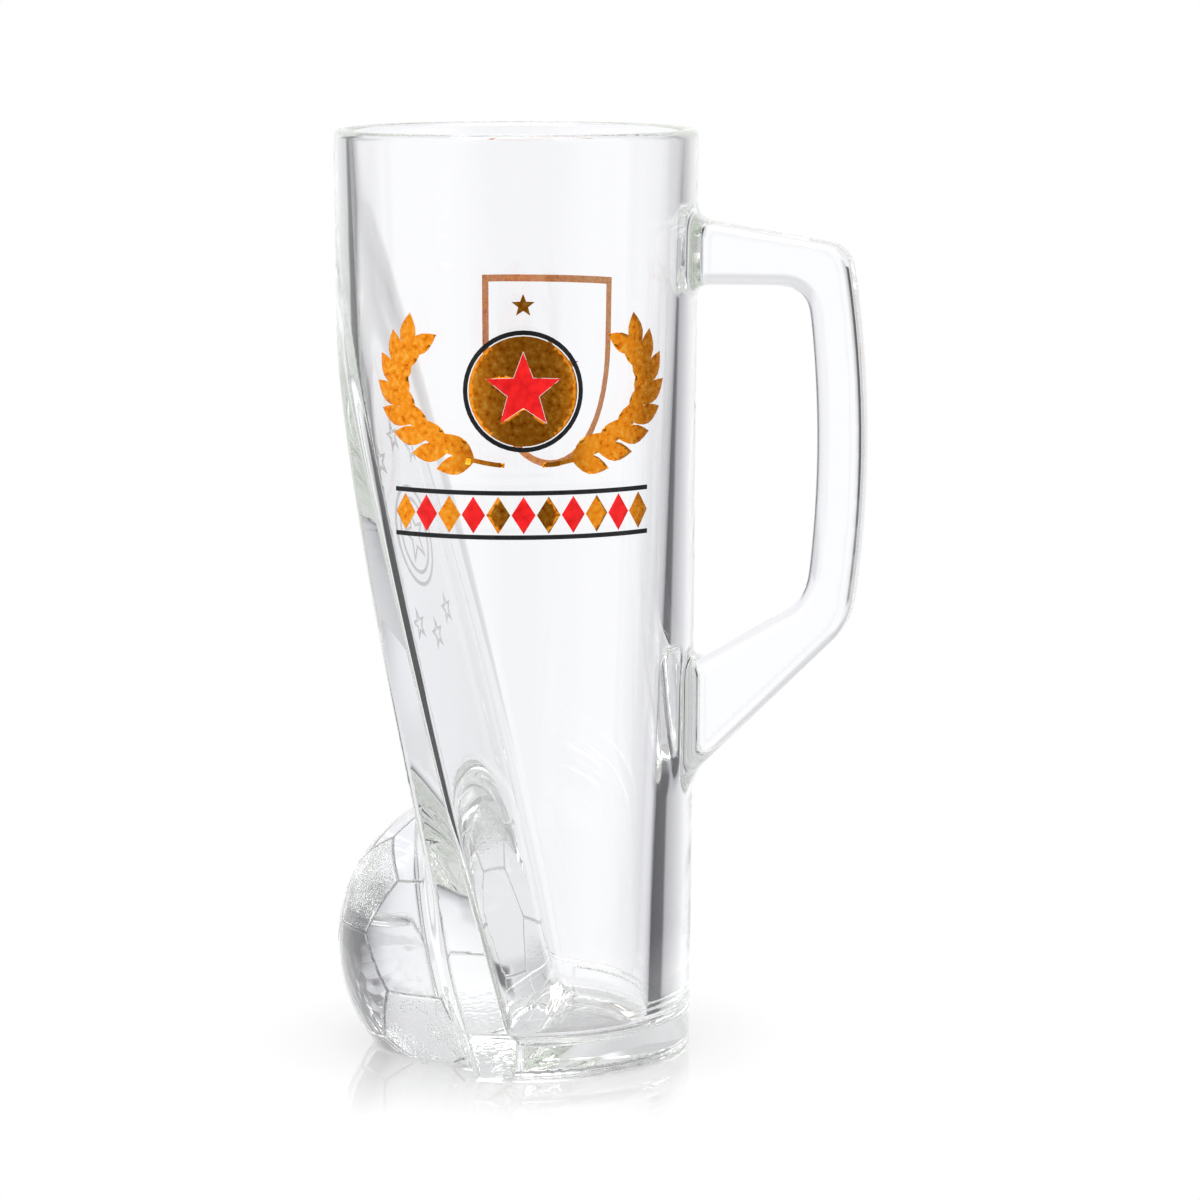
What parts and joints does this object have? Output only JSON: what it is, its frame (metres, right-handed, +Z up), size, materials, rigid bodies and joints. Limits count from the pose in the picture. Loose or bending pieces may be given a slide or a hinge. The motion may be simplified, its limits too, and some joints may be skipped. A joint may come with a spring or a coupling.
{
  "type": "beer mug",
  "caption": "Tall pressed-glass beer mug with a side handle, a slanted flat with half a football seated on it, a round foot and fired-on prints.",
  "frame": {"origin": "on the axis of the round wall, at table level", "axes": "+Z up, +X towards the handle, -X towards the slanted flat and the football, -Y towards the front print"},
  "size_m": [0.1184, 0.08, 0.204],
  "materials": {
    "glass": "clear pressed glass, fire polished",
    "gold_print": "fired-on gold, satin",
    "red_enamel": "fired-on enamel, gloss",
    "black_enamel": "fired-on enamel, gloss",
    "white_enamel": "fired-on enamel, satin"
  },
  "bodies": {
    "root": {"vessel": "glass", "foot": "glass", "football": "glass", "handle": "glass", "front_gold": "gold_print", "front_red": "red_enamel", "front_black": "black_enamel", "back_gold": "gold_print", "flat_white": "white_enamel"}
  },
  "joints": []
}
